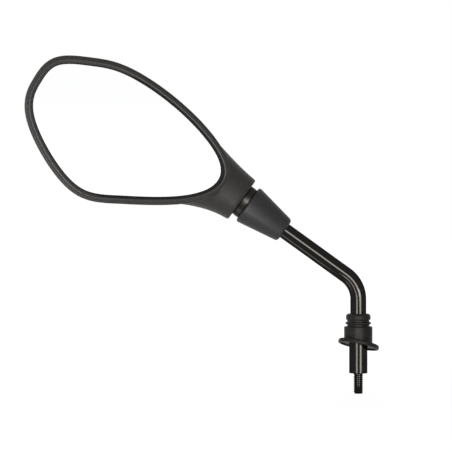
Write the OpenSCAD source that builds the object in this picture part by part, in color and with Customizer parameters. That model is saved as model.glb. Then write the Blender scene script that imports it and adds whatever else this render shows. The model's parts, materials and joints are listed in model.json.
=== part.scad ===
// Left-hand motorcycle mirror: a convex glass in a moulded head, carried by a ball joint
// on a bent tube that screws into a handlebar perch. Millimetres, Z up.
// The origin is on the stud's axis, at the shoulder that meets the perch.
// Seen from the rider's seat, X points right and the glass faces -Y.

/* [Foot] */
// Nominal diameter of the thread on the stud
stud_d = 8; // [6:1:10]
// Length of the stud below the shoulder
stud_len = 17.9; // [14:0.1:30]
// Chamfer at the stud's end
stud_chamfer = 1; // [0.4:0.1:1.5]
// Diameter of the sleeve above the shoulder
sleeve_d = 16; // [15:0.5:20]
// Height of the sleeve, its top hidden in the boot
sleeve_len = 31; // [28:1:34]
// Rounding of the sleeve's lower edge
sleeve_edge_r = 0.5; // [0.2:0.1:1]
// Length of the spigot that fills the foot of the tube
spigot_len = 14; // [8:1:20]

/* [Stem tube] */
// Outer diameter of the tube
tube_d = 14; // [12:0.5:14.5]
// Wall of the tube
tube_wall = 2; // [1.5:0.1:2.5]
// Height at which the two straight centrelines would meet
corner_h = 78; // [74:1:100]
// Radius of the bend, on the tube's centreline
bend_r = 26; // [20:1:30]
// Rise of the arm above the horizontal, in degrees
arm_rise = 35.8; // [25:0.1:45]

/* [Ball joint] */
// Distance along the arm from the corner to the ball's centre
ball_reach = 122.6; // [118:0.1:150]
// Diameter of the ball
ball_d = 29.5; // [28:0.1:31]
// Distance from the ball's centre to its flat foot
ball_foot = 12.5; // [12:0.1:13]
// Diameter of the stud through the ball
pivot_d = 6; // [5:0.5:6]
// Gap between rubbing spheres
slip_gap = 0.1; // [0.05:0.01:0.15]
// Thickness of each acetal liner
liner_t = 0.7; // [0.5:0.1:0.9]
// Thickness of the socket's steel dish
dish_t = 1.6; // [1.2:0.1:2]
// Thickness of the pressure cup
cup_t = 1.6; // [1.2:0.1:2]
// Largest lean of the head to either side on each axis, in degrees
lean_max = 10; // [6:1:10]
// Angle from the arm's axis to the rim of the dish
dish_edge = 62; // [60:1:63]
// Thickness of the lock nut under the ball
lock_nut_h = 4; // [3:0.5:5]
// Width across the flats of both nuts
nut_af = 10; // [10:0.5:11]
// Thickness of the self-locking nut
tension_nut_h = 6; // [5:0.5:6]
// Room for the spring between the cup and its washer
spring_h = 8; // [7:0.5:8.5]
// Diameter of the spring's wire
wire_d = 1.6; // [1.2:0.1:1.8]
// Outer diameter of the spring
spring_d = 12.6; // [12:0.1:13]
// Turns of the spring
spring_turns = 3.5; // [3:0.5:4]
// Thickness of the washer on the spring
washer_t = 1.2; // [1:0.1:1.6]
// Outer diameter of the washer
washer_d = 12; // [11:0.5:12.5]
// Length of the plug's spigot in the top of the tube
plug_len = 16; // [10:1:24]
// Height of the plug's collar above the tube
plug_collar = 2.5; // [1.5:0.5:3]

/* [Cone cover] */
// Length of the cone
cone_len = 40; // [34:1:44]
// Wall at the cone's mouth
cone_wall = 2.9; // [2:0.1:3]
// Wall around the bore at the small end
cone_tail_wall = 3.9; // [3.2:0.1:4.2]
// Length of the bore that grips the tube
cone_grip = 6; // [4:1:10]
// Distance from the ball's centre down to the cone's mouth
cone_drop = 3.1; // [3:0.1:5]
// Gap between the ball and the cone's mouth
cone_clear = 0.4; // [0.3:0.05:0.8]
// Rounding of the cone's outer edges
cone_edge_r = 2.4; // [1:0.1:2.8]

/* [Rubber boot] */
// Height of the boot's top edge above the sleeve
boot_over = 21; // [18:0.1:23]
// Radius of the domed ring at the top
boot_ring_r = 10.75; // [10.5:0.05:11.5]
// Height of the domed ring
boot_ring_h = 5.4; // [4.6:0.1:5.6]
// Radius at the bottom of the grooves
boot_groove_r = 9.7; // [9:0.1:10.2]
// Radius of the thin ring between the grooves
boot_rib_r = 11.2; // [10.8:0.1:11.6]
// Height of the thin ring
boot_rib_h = 2; // [1.6:0.1:2.4]
// Height of each groove
boot_groove_h = 1.9; // [1.5:0.1:2.2]
// Radius of the body
boot_body_r = 12.4; // [11.8:0.1:13]
// Radius of the flange
flange_r = 18; // [16:0.1:20]
// Thickness of the flange
flange_t = 3.6; // [3:0.1:4.5]
// Distance from the boot's top edge down to the flange's underside, on the axis
flange_drop = 28.5; // [26:0.1:30]
// Slope of the flange down to the right, in degrees
flange_slope = 12; // [0:1:15]
// Slope of the flange down to the back, in degrees
flange_pitch = 11; // [0:1:15]
// Width of the flat rim round the flange's underside
flange_lip = 2.2; // [1.5:0.1:3]
// Depth of the recess in the flange's underside
flange_recess = 1.2; // [0.5:0.1:1.5]

/* [Head] */
// Turn of the glass to the right of the rider's line of sight, in degrees
head_yaw = 12; // [8:1:15]
// Tip of the glass downwards, in degrees
head_pitch = 3.5; // [0:0.5:6]
// Distance of the rim's crest ahead of the ball's centre
crest_ahead = 21.3; // [20.5:0.1:22]
// Centre of the glass across and above the ball
glass_centre = [-106, 61];
// Guide points of the glass edge about its centre, the edge runs smoothly inside them
glass_guide = [[49.4, 17.6], [-5, 52.6], [-31.1, 54.8], [-63.4, 59], [-75.4, 40.2],
               [-88.8, 15.6], [-47.3, -54.6], [-14.5, -55], [56.9, -59.4], [96.7, -37.8]];
// Width of the rounded rim
rim_w = 6.8; // [6:0.1:8]
// Depth of the glass edge behind the crest
glass_recess = 5; // [4:0.1:6]
// Depth of the straight recess that holds the glass
rim_depth = 8.5; // [8:0.1:10]
// Depth of the shell behind the rim's widest line
shell_depth = 41; // [38:1:46]
// Deepest point of the shell about the glass centre
shell_apex = [36, -19];
// Wall of the shell
shell_wall = 2.5; // [2:0.1:3]
// Distance from the ball's centre to the face of the neck
neck_face = 2.9; // [2.8:0.1:3.6]
// Wall of the neck at its mouth
neck_wall = 4; // [3:0.05:4.4]
// Thickness of the lip at the neck's mouth
mouth_lip = 1; // [0.8:0.1:1.4]
// Radius rounding the neck's edge
neck_edge_r = 0.9; // [0.5:0.1:2]

/* [Glass and fixings] */
// Radius of the convex glass
glass_curve = 1200; // [1000:50:1600]
// Thickness of the glass
glass_t = 2.5; // [2:0.1:3]
// Gap round the glass edge
glass_gap = 0.3; // [0.2:0.05:0.6]
// Thickness of the adhesive pad
pad_t = 1; // [0.6:0.1:1.2]
// Thickness of the glass carrier
carrier_t = 2.5; // [2:0.1:3]
// Height of the stubs behind the carrier
stub_h = 3; // [2:0.5:5]
// Diameter of the carrier's stubs and posts
post_d = 8; // [7:0.5:9]
// Places of the carrier's screws about the glass centre
carrier_screw_at = [[-60, 20], [-38, -34], [22, -40], [6, 30]];
// Diameter of the carrier's screws
carrier_screw_d = 3.5; // [3:0.5:4]
// Length of the carrier's screws
carrier_screw_len = 14; // [10:1:18]
// Diameter of the bracket's screws
bracket_screw_d = 4; // [3:0.5:4.5]
// Length of the bracket's screws under the head
bracket_screw_len = 6; // [5:0.5:7]
// Distance along the neck to the first pair of bracket screws
ear_screw_t = 50; // [48:1:52]
// Distance between the two pairs of bracket screws
ear_pitch = 12; // [10:1:14]
// Distance of the bracket's screws to either side of the neck's axis
ear_screw_w = 14; // [13:1:15]

/* [Hidden] */

eps = 0.01;
fine = 96;             // facets of a turned surface in the preview
seat_gap = 0.05;       // clearance of a pushed or screwed fit
run_gap = 0.15;        // clearance of a sliding bore
soft_gap = 0.3;        // clearance round rubber and padding

stud_r = stud_d / 2;
sleeve_r = sleeve_d / 2;
tube_r = tube_d / 2;
boot_top = sleeve_len + boot_over;
flange_h = boot_top - flange_drop;
bore_r = tube_r - tube_wall;
bend_tangent = bend_r * tan((90 - arm_rise) / 2);
ball_r = ball_d / 2;
pivot_r = pivot_d / 2;

// radii of the nested spheres, from the ball outwards
liner_in = ball_r + slip_gap;
liner_out = liner_in + liner_t;
dish_in = liner_out + slip_gap;
dish_out = dish_in + dish_t;
cup_liner_in = dish_out + slip_gap;
cup_liner_out = cup_liner_in + liner_t;
cup_in = cup_liner_out + slip_gap;
cup_out = cup_in + cup_t;

// angles from the arm's axis at which the nested shells start and end
lean_both = acos(cos(lean_max) * cos(lean_max));
hole_clear = 1.5;
ball_liner_hole = asin((pivot_r + run_gap) / liner_in) + hole_clear;
cup_liner_hole = asin((pivot_r + run_gap) / cup_liner_in) + lean_max + hole_clear;
dish_hole = asin((pivot_r + run_gap) / dish_in) + lean_both + hole_clear;
cup_edge = dish_hole + lean_both + hole_clear;
cup_liner_edge = cup_edge + 4;

// stations along the arm, from the ball's centre
nut_foot = -ball_foot - lock_nut_h;
tube_top = nut_foot - plug_collar;
cup_crown = 0.85;
cup_top = cup_out + cup_crown;
washer_at = cup_top + spring_h;
nut_at = washer_at + washer_t;
thread_end = 1.2;
pivot_top = nut_at + tension_nut_h + thread_end;
pivot_foot = tube_top - plug_len + 2;
cup_boss_r = 7;
boss_angle = 25;

// the seal, the mouth and the flange of the dish
seal_t = 2.5;
seal_w = 2;
seal_in = ball_r + soft_gap;
seal_out = seal_in + seal_w - soft_gap / 2;
mouth_r = seal_out - 0.8;
neck_r = seal_out + neck_wall;
flange_at = neck_face + mouth_lip + seal_t + seat_gap;
ball_liner_edge = acos(flange_at / seal_in) - lean_both - 1;
bracket_r = seal_out + 1.1;

// the ball's centre in the part's frame
ball_x = -cos(arm_rise) * ball_reach;
ball_z = corner_h + sin(arm_rise) * ball_reach;

crest_y = -crest_ahead;
glass_y = crest_y + glass_recess;
recess_y = crest_y + rim_depth;
glass_bulge = 2.2;
glass_reach = 105;
glass_front_y = glass_y - glass_bulge;
carrier_back_y = glass_front_y + glass_t + pad_t + carrier_t;
stub_y = carrier_back_y + stub_h;

module arm_frame() {
    translate([0, 0, corner_h]) rotate([0, arm_rise - 90, 0]) children();
}
module joint_frame() {
    arm_frame() translate([0, 0, ball_reach]) children();
}
module head_frame() {
    translate([ball_x, 0, ball_z]) rotate([head_pitch, 0, head_yaw]) children();
}

// Outline of the glass: a closed cubic spline over the guide points, and curves beside it
spline_steps = 6;
function wrap(list, i) = list[(i + len(list)) % len(list)];
function spline_at(a, b, c, d, t) =
    (pow(1 - t, 3) * a + (3 * pow(t, 3) - 6 * t * t + 4) * b
     + (-3 * pow(t, 3) + 3 * t * t + 3 * t + 1) * c + pow(t, 3) * d) / 6;
glass_edge = [for (i = [0 : len(glass_guide) - 1], j = [0 : spline_steps - 1])
    spline_at(wrap(glass_guide, i - 1), glass_guide[i], wrap(glass_guide, i + 1),
              wrap(glass_guide, i + 2), j / spline_steps)];
function outward(i) =
    let (run = wrap(glass_edge, i + 1) - wrap(glass_edge, i - 1)) [run[1], -run[0]] / norm(run);
function beside_edge(gap) =
    [for (i = [0 : len(glass_edge) - 1]) glass_edge[i] + gap * outward(i)];

// Rings of the shell in the head's frame: y is depth, positive away from the rider
function ring(gap, y) =
    [for (p = beside_edge(gap)) [glass_centre[0] + p[0], y, glass_centre[1] + p[1]]];
function shrunk_ring(gap, y, share) =
    [for (p = beside_edge(gap)) let (q = shell_apex + share * (p - shell_apex))
        [glass_centre[0] + q[0], y, glass_centre[1] + q[1]]];
module wrapped(points) {
    hull() polyhedron(points, [[for (i = [0 : len(points) - 1]) i]]);
}
function flat(lists) = [for (list = lists) for (item = list) item];

// Right-hand end of the rim
rim_right = max([for (p = ring(rim_w, 0)) p[0]]);

// The closed body of the shell from its widest line to its back
bowl_angles = [0, 12, 25, 38, 50, 62, 74, 87];
function bowl_rings(gap, y, depth) =
    [for (a = bowl_angles) shrunk_ring(gap, y + depth * pow(sin(a), 0.9), pow(cos(a), 0.62))];

// The rim's rounded section, as [outward gap, depth behind the crest]
rim_curve_r = [rim_w * 0.56, glass_recess];
rim_front = [for (a = [90 : -22.5 : 0])
    [rim_w - rim_curve_r[0] * (1 - cos(a)), rim_curve_r[1] * (1 - sin(a))]];
lip_draft = 1.1;
lip_front = [[0, glass_recess], [lip_draft, 1.4], [1.7, 0.45], [rim_w - rim_curve_r[0], -eps]];

module bowl_outer() {
    wrapped(flat(concat([for (p = rim_front) ring(p[0], crest_y + p[1])],
                        bowl_rings(rim_w, glass_y, shell_depth))));
}
module bowl_inner() {
    wrapped(flat(bowl_rings(rim_w - shell_wall, recess_y, shell_depth + glass_y - recess_y - shell_wall)));
}
module glass_opening() {
    for (i = [0 : len(lip_front) - 2])
        wrapped(flat([for (p = [lip_front[i], lip_front[i + 1]]) ring(p[0], crest_y + p[1])]));
    wrapped(flat([ring(0, glass_y - eps), ring(0, recess_y + shell_wall)]));
}

// The neck: flared sections along the arm's axis, rounded off inside the shell
neck_len = 76;
neck_swell = 40;
neck_steps = [0, 6, 14, 22, 30, 38, 47, 56, 65, 72, 75];
function swell(s) = s < neck_swell ? 1 : sqrt(1 - pow((s - neck_swell) / (neck_len - neck_swell), 2));
side_flare = 0.07;
side_curve = 0.0043;
front_flare = 0.2;
back_curve = -0.002;
function neck_half(s) = (neck_r + side_flare * s + side_curve * s * s) * swell(s);
function neck_back(s) = (neck_r + back_curve * s * s) * swell(s);
function neck_front(s) = (neck_r + front_flare * s) * swell(s);
function neck_shift(s) = back_curve * s * s;
function neck_ring(s, wall, front) = [for (a = [0 : 10 : 359])
    [neck_shift(s) + (neck_half(s) - wall) * cos(a),
     (a < 180 ? neck_back(s) - wall : min(neck_front(s) - wall, front)) * sin(a),
     neck_face + s]];
module neck_loft(stations, wall, front) {
    for (i = [0 : len(stations) - 2])
        wrapped(concat(neck_ring(stations[i], wall, front), neck_ring(stations[i + 1], wall, front)));
}
neck_inner_steps = [for (s = neck_steps) if (s > 3 && s < 73) s];
module neck_outer() {
    joint_frame() {
        hull() {
            translate([0, 0, neck_face + neck_edge_r]) cylinder(r = neck_r, h = eps, $fn = 48);
            translate([0, 0, neck_face]) cylinder(r = neck_r - neck_edge_r, h = eps, $fn = 48);
            translate([0, 0, neck_face + neck_edge_r * 0.3])
                cylinder(r = neck_r - neck_edge_r * 0.3, h = eps, $fn = 48);
        }
        neck_loft([for (s = neck_steps) if (s == 0) neck_edge_r else s], 0, 99);
    }
}
module neck_inner() {
    joint_frame() {
        neck_loft(concat([flange_at - neck_face], neck_inner_steps), shell_wall, neck_r - shell_wall);
        translate([0, 0, neck_face - 1]) cylinder(r = mouth_r, h = 20, $fn = 72);
        translate([0, 0, neck_face + mouth_lip])
            cylinder(r = seal_out, h = flange_at - neck_face, $fn = 72);
        translate([0, 0, flange_at - seat_gap]) cylinder(r = bracket_r + seat_gap, h = 6, $fn = 72);
    }
}
module shell_body() {
    head_frame() bowl_outer();
    neck_outer();
}

// Places of the screws
ear_at = [for (side = [-1, 1], t = [ear_screw_t, ear_screw_t + ear_pitch]) [side * ear_screw_w, t]];
ear_y = 0;
ear_t = 2;
post_end = 60;         // past the shell's back, cut off by it

module post(r, y0, y1) {
    rotate([-90, 0, 0]) translate([0, 0, y0]) cylinder(r = r, h = y1 - y0, $fn = 24);
}
module at_carrier_screws() {
    for (p = carrier_screw_at)
        translate([glass_centre[0] + p[0], 0, glass_centre[1] + p[1]]) children();
}
module at_ear_screws() {
    for (p = ear_at) translate([p[0], 0, p[1]]) children();
}

module housing() {
    color([0.17, 0.17, 0.165]) difference() {
        union() {
            difference() {
                shell_body();
                head_frame() {
                    glass_opening();
                    bowl_inner();
                }
                difference() {
                    neck_inner();
                    head_frame() translate([rim_right - 250, recess_y - 200, -50]) cube([250, 200, 250]);
                }
            }
            intersection() {
                union() {
                    head_frame() at_carrier_screws() post(post_d / 2, stub_y, post_end);
                    joint_frame() at_ear_screws() post(post_d / 2, ear_y + ear_t, post_end);
                }
                shell_body();
            }
        }
        head_frame() at_carrier_screws()
            post(carrier_screw_d / 2 + seat_gap, stub_y - 1, stub_y + carrier_screw_len);
        joint_frame() at_ear_screws()
            post(bracket_screw_d / 2 + seat_gap, ear_y, ear_y + bracket_screw_len + 0.5);
    }
}

// A turned spherical shell round the arm's axis, between two angles from that axis
module shell_sector(r0, r1, from, to) {
    rotate_extrude($fn = fine) intersection() {
        difference() {
            circle(r = r1, $fn = 2 * fine);
            circle(r = r0, $fn = 2 * fine);
        }
        polygon([[0, 0], 3 * r1 * [sin(from), cos(from)],
                 3 * r1 * [sin((from + to) / 2), cos((from + to) / 2)],
                 3 * r1 * [sin(to), cos(to)]]);
    }
}

module threaded_foot() {
    color([0.07, 0.07, 0.07]) rotate_extrude($fn = fine) polygon([
        [0, -stud_len], [stud_r - stud_chamfer, -stud_len], [stud_r, -stud_len + stud_chamfer],
        [stud_r, 0], [sleeve_r - sleeve_edge_r, 0], [sleeve_r, sleeve_edge_r],
        [sleeve_r, sleeve_len - sleeve_edge_r], [sleeve_r - sleeve_edge_r, sleeve_len],
        [bore_r - seat_gap, sleeve_len], [bore_r - seat_gap, sleeve_len + spigot_len - 1],
        [bore_r - seat_gap - 1, sleeve_len + spigot_len], [0, sleeve_len + spigot_len]]);
}

module tube_ring() {
    difference() {
        circle(r = tube_r, $fn = fine);
        circle(r = bore_r, $fn = fine);
    }
}
module stem_tube() {
    color([0.06, 0.06, 0.06]) {
        translate([0, 0, sleeve_len])
            linear_extrude(corner_h - bend_tangent - sleeve_len) tube_ring();
        translate([-bend_r, 0, corner_h - bend_tangent]) rotate([90, 0, 0])
            rotate_extrude(angle = 90 - arm_rise, $fn = 2 * fine) translate([bend_r, 0]) tube_ring();
        arm_frame() translate([0, 0, bend_tangent])
            linear_extrude(ball_reach + tube_top - bend_tangent) tube_ring();
    }
}

module end_plug() {
    color([0.55, 0.55, 0.57]) joint_frame() difference() {
        union() {
            translate([0, 0, tube_top]) cylinder(r = tube_r, h = plug_collar, $fn = fine);
            translate([0, 0, tube_top - plug_len])
                cylinder(r = bore_r - seat_gap, h = plug_len + eps, $fn = fine);
        }
        translate([0, 0, pivot_foot - 1]) cylinder(r = pivot_r + seat_gap, h = 2 * plug_len, $fn = fine);
    }
}

module hex_nut(h, chamfer) {
    corner_r = nut_af / 2 / cos(30);
    difference() {
        intersection() {
            cylinder(r = corner_r, h = h, $fn = 6);
            rotate_extrude($fn = fine) polygon([[0, 0], [corner_r - chamfer, 0], [corner_r, chamfer * 0.5],
                [corner_r, h - chamfer * 0.5], [corner_r - chamfer, h], [0, h]]);
        }
        translate([0, 0, -1]) cylinder(r = pivot_r + seat_gap, h = h + 2, $fn = fine);
    }
}
nut_chamfer = 0.7;
nut_collar = 1.4;
module lock_nut() {
    color([0.6, 0.6, 0.62]) joint_frame() translate([0, 0, nut_foot])
        hex_nut(lock_nut_h, nut_chamfer);
}
module tension_nut() {
    color([0.62, 0.62, 0.64]) joint_frame() translate([0, 0, nut_at]) {
        hex_nut(tension_nut_h - nut_collar, nut_chamfer);
        translate([0, 0, tension_nut_h - nut_collar]) difference() {
            cylinder(r = nut_af / 2 - 0.3, h = nut_collar, $fn = fine);
            translate([0, 0, -1]) cylinder(r = pivot_r + seat_gap, h = 4, $fn = fine);
        }
    }
}
module spring_washer() {
    color([0.6, 0.6, 0.62]) joint_frame() translate([0, 0, washer_at]) difference() {
        cylinder(r = washer_d / 2, h = washer_t, $fn = fine);
        translate([0, 0, -1]) cylinder(r = pivot_r + run_gap, h = washer_t + 2, $fn = fine);
    }
}
pivot_chamfer = 0.6;
module pivot_stud() {
    color([0.6, 0.6, 0.62]) joint_frame() rotate_extrude($fn = fine) polygon([
        [0, pivot_foot], [pivot_r - pivot_chamfer, pivot_foot], [pivot_r, pivot_foot + pivot_chamfer],
        [pivot_r, pivot_top - pivot_chamfer], [pivot_r - pivot_chamfer, pivot_top], [0, pivot_top]]);
}
module pivot_ball() {
    color([0.06, 0.06, 0.065]) joint_frame() rotate_extrude($fn = fine) intersection() {
        circle(r = ball_r, $fn = 2 * fine);
        translate([pivot_r + run_gap, -ball_foot]) square([ball_r, ball_foot + ball_r]);
    }
}
module pressure_cup() {
    color([0.58, 0.58, 0.6]) joint_frame() {
        rotate_extrude($fn = fine) difference() {
            union() {
                intersection() {
                    circle(r = cup_out, $fn = 2 * fine);
                    polygon([[0, 0], [0, 2 * cup_out],
                             2 * cup_out * [sin(cup_edge / 2), cos(cup_edge / 2)],
                             2 * cup_out * [sin(cup_edge), cos(cup_edge)]]);
                }
                translate([0, cup_in * cos(boss_angle)])
                    square([cup_boss_r, cup_top - cup_in * cos(boss_angle)]);
            }
            circle(r = cup_in, $fn = 2 * fine);
            square([pivot_r + run_gap, 2 * cup_top]);
        }
    }
}

// The spring: a round wire on a helix, with a flat coil at each end
spring_mid_r = (spring_d - wire_d) / 2;
spring_per_turn = 14;
spring_free = spring_h - wire_d - 2 * seat_gap;
wire_sides = 8;
flat_turns = 0.7;
function wire_height(turn) =
    spring_free * min(1, max(0, (turn - flat_turns) / (spring_turns - 2 * flat_turns)));
function wire_ring(turn) = [for (k = [0 : wire_sides - 1])
    let (a = 360 * k / wire_sides, r = spring_mid_r + wire_d / 2 * cos(a))
        [r * cos(360 * turn), r * sin(360 * turn),
         cup_top + seat_gap + wire_d / 2 + wire_height(turn) + wire_d / 2 * sin(a)]];
module joint_spring() {
    rings = spring_turns * spring_per_turn;
    points = flat([for (i = [0 : rings]) wire_ring(i / spring_per_turn)]);
    side_faces = [for (i = [0 : rings - 1], k = [0 : wire_sides - 1]) let (n = (k + 1) % wire_sides)
        [i * wire_sides + k, i * wire_sides + n, (i + 1) * wire_sides + n, (i + 1) * wire_sides + k]];
    caps = [[for (k = [wire_sides - 1 : -1 : 0]) k],
            [for (k = [0 : wire_sides - 1]) rings * wire_sides + k]];
    color([0.5, 0.5, 0.52]) joint_frame() polyhedron(points, concat(side_faces, caps));
}

module ball_liner() {
    color([0.85, 0.85, 0.8]) joint_frame()
        shell_sector(liner_in, liner_out, ball_liner_hole, ball_liner_edge);
}
module cup_liner() {
    color([0.85, 0.85, 0.8]) joint_frame()
        shell_sector(cup_liner_in, cup_liner_out, cup_liner_hole, cup_liner_edge);
}

// The socket: a dish and flange with two arms to the screw ears
arm_bend_t = 10.5;
arm_end_t = 46;
arm_end_w = 19.8;
arm_wide = 14;
ear_in = ear_screw_w - 5.5;
ear_len = ear_screw_t + ear_pitch - arm_end_t + 6.5;
module socket_bracket() {
    color([0.5, 0.51, 0.53]) joint_frame() {
        shell_sector(dish_in, dish_out, dish_hole, dish_edge);
        translate([0, 0, flange_at]) difference() {
            cylinder(r = bracket_r, h = dish_t, $fn = fine);
            translate([0, 0, -1]) cylinder(r = dish_in * sin(dish_edge) + 0.6, h = dish_t + 2, $fn = fine);
        }
        intersection() {
            rotate_extrude($fn = fine) polygon([
                [bracket_r - 1.5, flange_at + eps], [bracket_r - 0.1, flange_at + eps],
                [bracket_r + 0.2, arm_bend_t + 1.5], [arm_end_w, arm_end_t],
                [arm_end_w - dish_t, arm_end_t], [bracket_r - 0.95, arm_bend_t]]);
            translate([-50, -arm_wide / 2, 0]) cube([100, arm_wide, arm_end_t]);
        }
        for (side = [-1, 1]) scale([side, 1, 1])
            difference() {
                translate([ear_in, ear_y, arm_end_t - 2]) cube([arm_end_w - ear_in, ear_t, ear_len]);
                for (t = [ear_screw_t, ear_screw_t + ear_pitch]) translate([ear_screw_w, 0, t])
                    rotate([-90, 0, 0]) cylinder(r = bracket_screw_d / 2 + run_gap, h = 20, $fn = 48);
            }
    }
}

module pan_screw(r, len) {
    rotate([-90, 0, 0]) rotate_extrude($fn = 48) polygon([
        [0, -r * 1.1], [r * 1.3, -r * 1.1], [r * 1.9, -r * 0.6], [r * 1.9, 0], [r, 0],
        [r, len - r], [0.4 * r, len], [0, len]]);
}
module bracket_screws() {
    color([0.62, 0.62, 0.64]) joint_frame() at_ear_screws() translate([0, ear_y, 0])
        pan_screw(bracket_screw_d / 2, bracket_screw_len);
}

module neck_seal() {
    color([0.09, 0.09, 0.09]) joint_frame() rotate_extrude($fn = fine) difference() {
        translate([0, neck_face + mouth_lip]) square([seal_out - seat_gap, seal_t]);
        circle(r = seal_in, $fn = 2 * fine);
        square([ball_r - 2, 20]);
    }
}

// The glass and what backs it follow one sphere
glass_sphere_y = glass_front_y + glass_curve;
module lens(gap, depth0, depth1) {
    translate([glass_centre[0], 0, glass_centre[1]]) intersection() {
        rotate([90, 0, 0]) linear_extrude(100, center = true) polygon(beside_edge(gap));
        translate([0, glass_sphere_y, 0]) rotate([90, 0, 0]) rotate_extrude($fn = fine) intersection() {
            difference() {
                circle(r = glass_curve - depth0, $fn = 3600);
                circle(r = glass_curve - depth1, $fn = 3600);
            }
            translate([0, glass_curve - 30]) square([glass_reach, 40]);
        }
    }
}
module mirror_glass() {
    color([0.92, 0.93, 0.94]) head_frame() lens(-glass_gap, 0, glass_t);
}
pad_inset = 2;
module glass_pad() {
    color([0.2, 0.2, 0.2]) head_frame() lens(-glass_gap - pad_inset, glass_t, glass_t + pad_t);
}
screw_head_y = glass_front_y + glass_t + pad_t + 0.5;
head_land = 0.2;
module at_screw_heads() {
    for (p = carrier_screw_at)
        translate([glass_centre[0] + p[0], screw_head_y + (p * p) / (2 * glass_curve),
                   glass_centre[1] + p[1]]) rotate([-90, 0, 0]) children();
}
module carrier_screw(r, len) {
    rotate_extrude($fn = 48) polygon([
        [0, 0], [r * 2, 0], [r * 2, head_land], [r, head_land + r],
        [r, len - r], [0.4 * r, len], [0, len]]);
}
module glass_carrier() {
    color([0.12, 0.12, 0.12]) head_frame() difference() {
        union() {
            lens(-glass_gap - 0.7, glass_t + pad_t, glass_t + pad_t + carrier_t);
            at_carrier_screws() post(post_d / 2 - 0.5, carrier_back_y - 0.6, stub_y);
        }
        at_carrier_screws() post(carrier_screw_d / 2 + run_gap, -post_end, post_end);
        at_screw_heads() {
            translate([0, 0, -8])
                cylinder(r = carrier_screw_d + head_land, h = 8 + head_land, $fn = 48);
            translate([0, 0, head_land])
                cylinder(r1 = carrier_screw_d + head_land, r2 = carrier_screw_d / 2 + 0.1,
                         h = carrier_screw_d / 2 + 0.1, $fn = 48);
        }
    }
}
module carrier_screws() {
    color([0.62, 0.62, 0.64]) head_frame() at_screw_heads()
        carrier_screw(carrier_screw_d / 2, carrier_screw_len);
}

// The cone cover, turned about the arm
cone_top = -cone_drop;
cone_bottom = cone_top - cone_len;
cone_mouth_r = ball_r + cone_clear + cone_wall;
cone_tail_r = tube_r + run_gap + cone_tail_wall;
module cone_cover() {
    color([0.2, 0.2, 0.215]) joint_frame() rotate_extrude($fn = fine) difference() {
        cone_section();
        polygon([[0, cone_bottom - 1], [tube_r + run_gap, cone_bottom - 1],
                 [tube_r + run_gap, cone_bottom + cone_grip],
                 [cone_tail_r - cone_wall + 0.8, cone_bottom + cone_grip + 1.5],
                 [cone_mouth_r - cone_wall, cone_top], [cone_mouth_r - cone_wall + 0.2, cone_top + 1],
                 [0, cone_top + 1]]);
    }
}
// Section of the cone with rounded corners, each a true arc
module cone_section() {
    slant = atan2(cone_mouth_r - cone_tail_r, cone_len);
    r = cone_edge_r;
    top_c = [cone_mouth_r - r * (1 / cos(slant) + tan(slant)), cone_top - r];
    tail_c = [cone_tail_r - r * (1 / cos(slant) - tan(slant)), cone_bottom + r];
    polygon([[0, cone_bottom], [tail_c[0], cone_bottom],
             tail_c + r * [cos(slant), -sin(slant)], top_c + r * [cos(slant), -sin(slant)],
             top_c, [top_c[0], cone_top], [0, cone_top]]);
    translate(top_c) circle(r = r, $fn = 64);
    translate(tail_c) circle(r = r, $fn = 64);
}

// The boot: turned rings on a body, with a sloping flange
module flange_frame() {
    translate([0, 0, flange_h]) rotate([-flange_pitch, flange_slope, 0]) children();
}
rib_top = boot_top - boot_ring_h - boot_groove_h;
body_top = rib_top - boot_rib_h - boot_groove_h;
cavity_r = sleeve_r + soft_gap;
dome_r = 2.5;
flange_edge_r = 1.4;
module boot_profile() {
    difference() {
        union() {
            square([boot_groove_r, boot_top - 1]);
            square([boot_body_r, body_top]);
            translate([0, rib_top - boot_rib_h]) square([boot_rib_r, boot_rib_h]);
            translate([0, boot_top - boot_ring_h]) square([boot_ring_r, boot_ring_h - dome_r]);
            translate([boot_ring_r - dome_r, boot_top - dome_r]) circle(r = dome_r, $fn = 64);
            square([boot_ring_r - dome_r, boot_top]);
        }
        square([tube_r + run_gap, boot_top + 1]);
        square([cavity_r, sleeve_len + soft_gap]);
    }
}
module rubber_boot() {
    color([0.21, 0.2, 0.19]) difference() {
        union() {
            rotate_extrude($fn = fine) boot_profile();
            flange_frame() rotate_extrude($fn = fine) {
                square([flange_r, flange_t - flange_edge_r]);
                square([flange_r - flange_edge_r, flange_t]);
                translate([flange_r - flange_edge_r, flange_t - flange_edge_r])
                    circle(r = flange_edge_r, $fn = 48);
            }
        }
        translate([0, 0, -10]) cylinder(r = cavity_r, h = sleeve_len + soft_gap + 10, $fn = fine);
        flange_frame() {
            translate([0, 0, -60]) cylinder(r = 60, h = 60, $fn = fine);
            translate([0, 0, -eps]) cylinder(r = flange_r - flange_lip, h = flange_recess + eps, $fn = fine);
        }
    }
}

threaded_foot();
stem_tube();
end_plug();
lock_nut();
pivot_stud();
pivot_ball();
pressure_cup();
joint_spring();
spring_washer();
tension_nut();
ball_liner();
cup_liner();
housing();
socket_bracket();
bracket_screws();
neck_seal();
mirror_glass();
glass_pad();
glass_carrier();
carrier_screws();
cone_cover();
rubber_boot();
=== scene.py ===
import bpy
import bmesh
import json
import math
from mathutils import Matrix, Vector

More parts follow.
